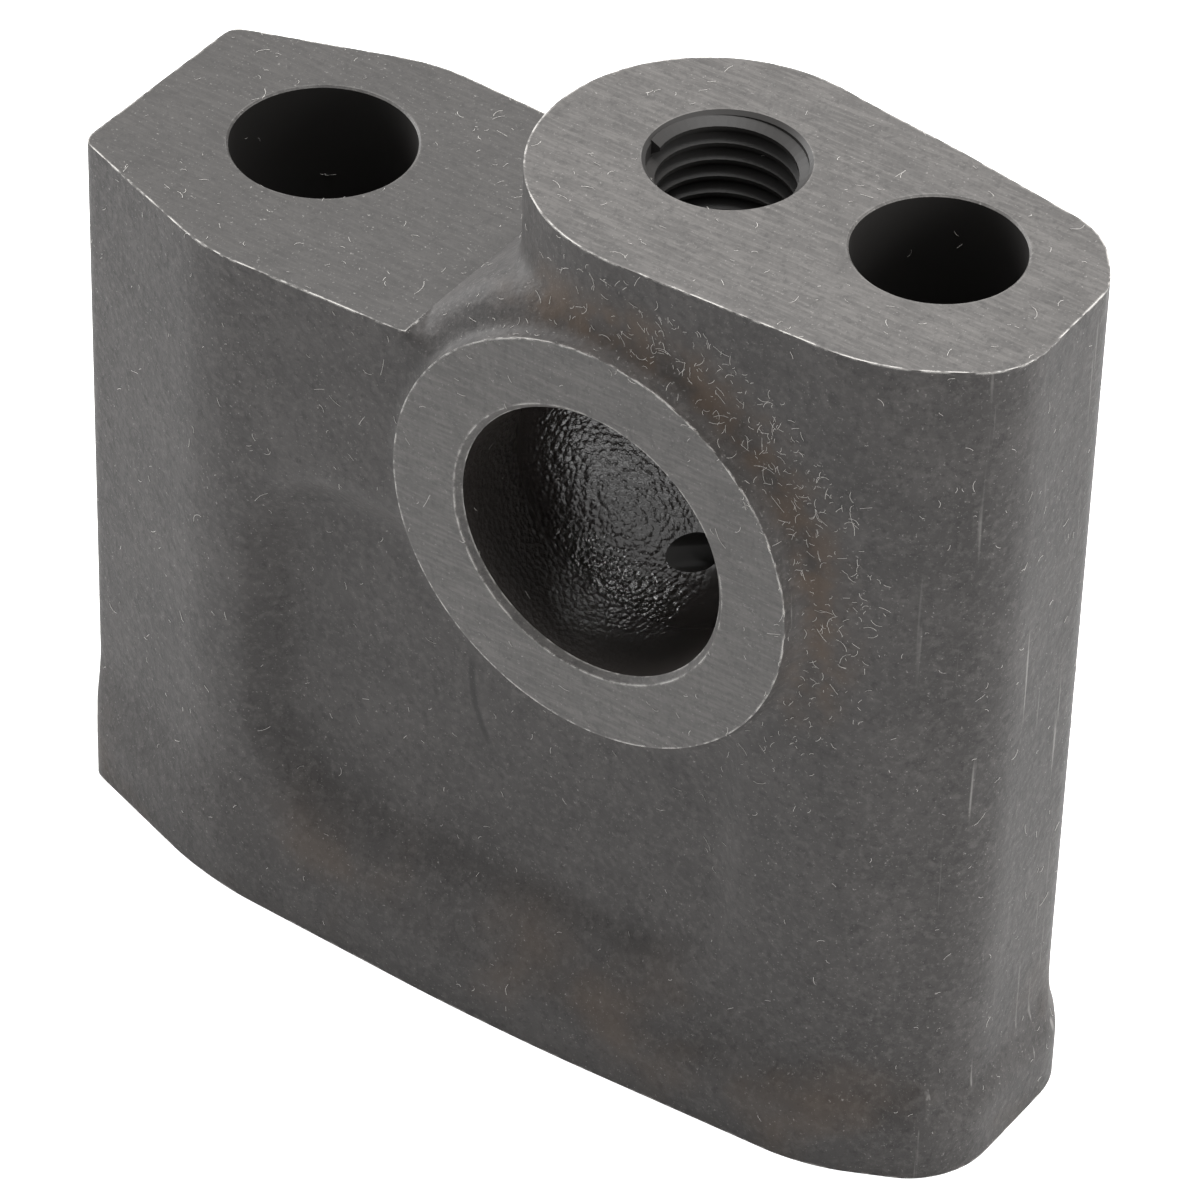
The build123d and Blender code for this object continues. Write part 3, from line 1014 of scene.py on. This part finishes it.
def studio_camera(lens):
    """The camera, turned by its three axes."""
    camera = bpy.data.cameras.new("camera")
    camera.lens = lens
    camera.sensor_width = 36.0
    camera.clip_start, camera.clip_end = 0.01, 10.0
    eye = bpy.data.objects.new("camera", camera)
    turn = Matrix(CAMERA_AXES).transposed().to_4x4()
    eye.matrix_world = Matrix.Translation(CAMERA_PLACE) @ turn
    bpy.context.scene.collection.objects.link(eye)
    return eye


class BLOCK_OT_stage(bpy.types.Operator):
    """Lay the pale floor, set the soft lights and place the camera"""
    bl_idname = "block.stage"
    bl_label = "Stage"

    def execute(self, context):
        settings = context.scene.block_stage
        bm = bmesh.new()
        bmesh.ops.create_grid(bm, x_segments=1, y_segments=1, size=settings.floor_size / 2)
        bmesh.ops.translate(bm, verts=bm.verts[:], vec=(0, 0, -FLOOR_GAP))
        finish_mesh(bm, "floor", (floor_finish(settings.floor_glow),))
        for name, place, size, share in SOFTBOXES:
            softbox(name, place, size, settings.key_power * share)
        context.scene.world = studio_world(settings.fill)
        context.scene.camera = studio_camera(settings.lens)
        context.scene.view_settings.view_transform = "Standard"
        return {"FINISHED"}


class BLOCK_PT_panel(bpy.types.Panel):
    """Sizes, colours and build steps of the mounting block"""
    bl_idname = "BLOCK_PT_panel"
    bl_label = "Mounting block"
    bl_space_type = "VIEW_3D"
    bl_region_type = "UI"
    bl_category = "Block"

    def draw(self, context):
        for group in (context.scene.block_sizes, context.scene.block_colours,
                      context.scene.block_lint, context.scene.block_stage):
            section = self.layout.box()
            for name in group.bl_rna.properties.keys():
                if name not in ("rna_type", "name"):
                    section.prop(group, name)
        for operator in STEPS:
            self.layout.operator(operator.bl_idname)


STEPS = (BLOCK_OT_casting, BLOCK_OT_thread, BLOCK_OT_lint, BLOCK_OT_stage)
GROUPS = (("block_sizes", CastingSizes), ("block_colours", FinishColours), ("block_lint", LintSettings),
          ("block_stage", StageSettings))


def register():
    """Adds the settings, the operators and the panel."""
    for name, group in GROUPS:
        bpy.utils.register_class(group)
        setattr(bpy.types.Scene, name, bpy.props.PointerProperty(type=group))
    for item in STEPS + (BLOCK_PT_panel,):
        bpy.utils.register_class(item)


def unregister():
    """Takes them away again."""
    for item in (BLOCK_PT_panel,) + STEPS[::-1]:
        bpy.utils.unregister_class(item)
    for name, group in GROUPS[::-1]:
        delattr(bpy.types.Scene, name)
        bpy.utils.unregister_class(group)


def main():
    """Builds the block and its stage."""
    register()
    bpy.ops.block.casting()
    bpy.ops.block.thread()
    bpy.ops.block.lint()
    bpy.ops.block.stage()


if __name__ == "__main__":
    main()
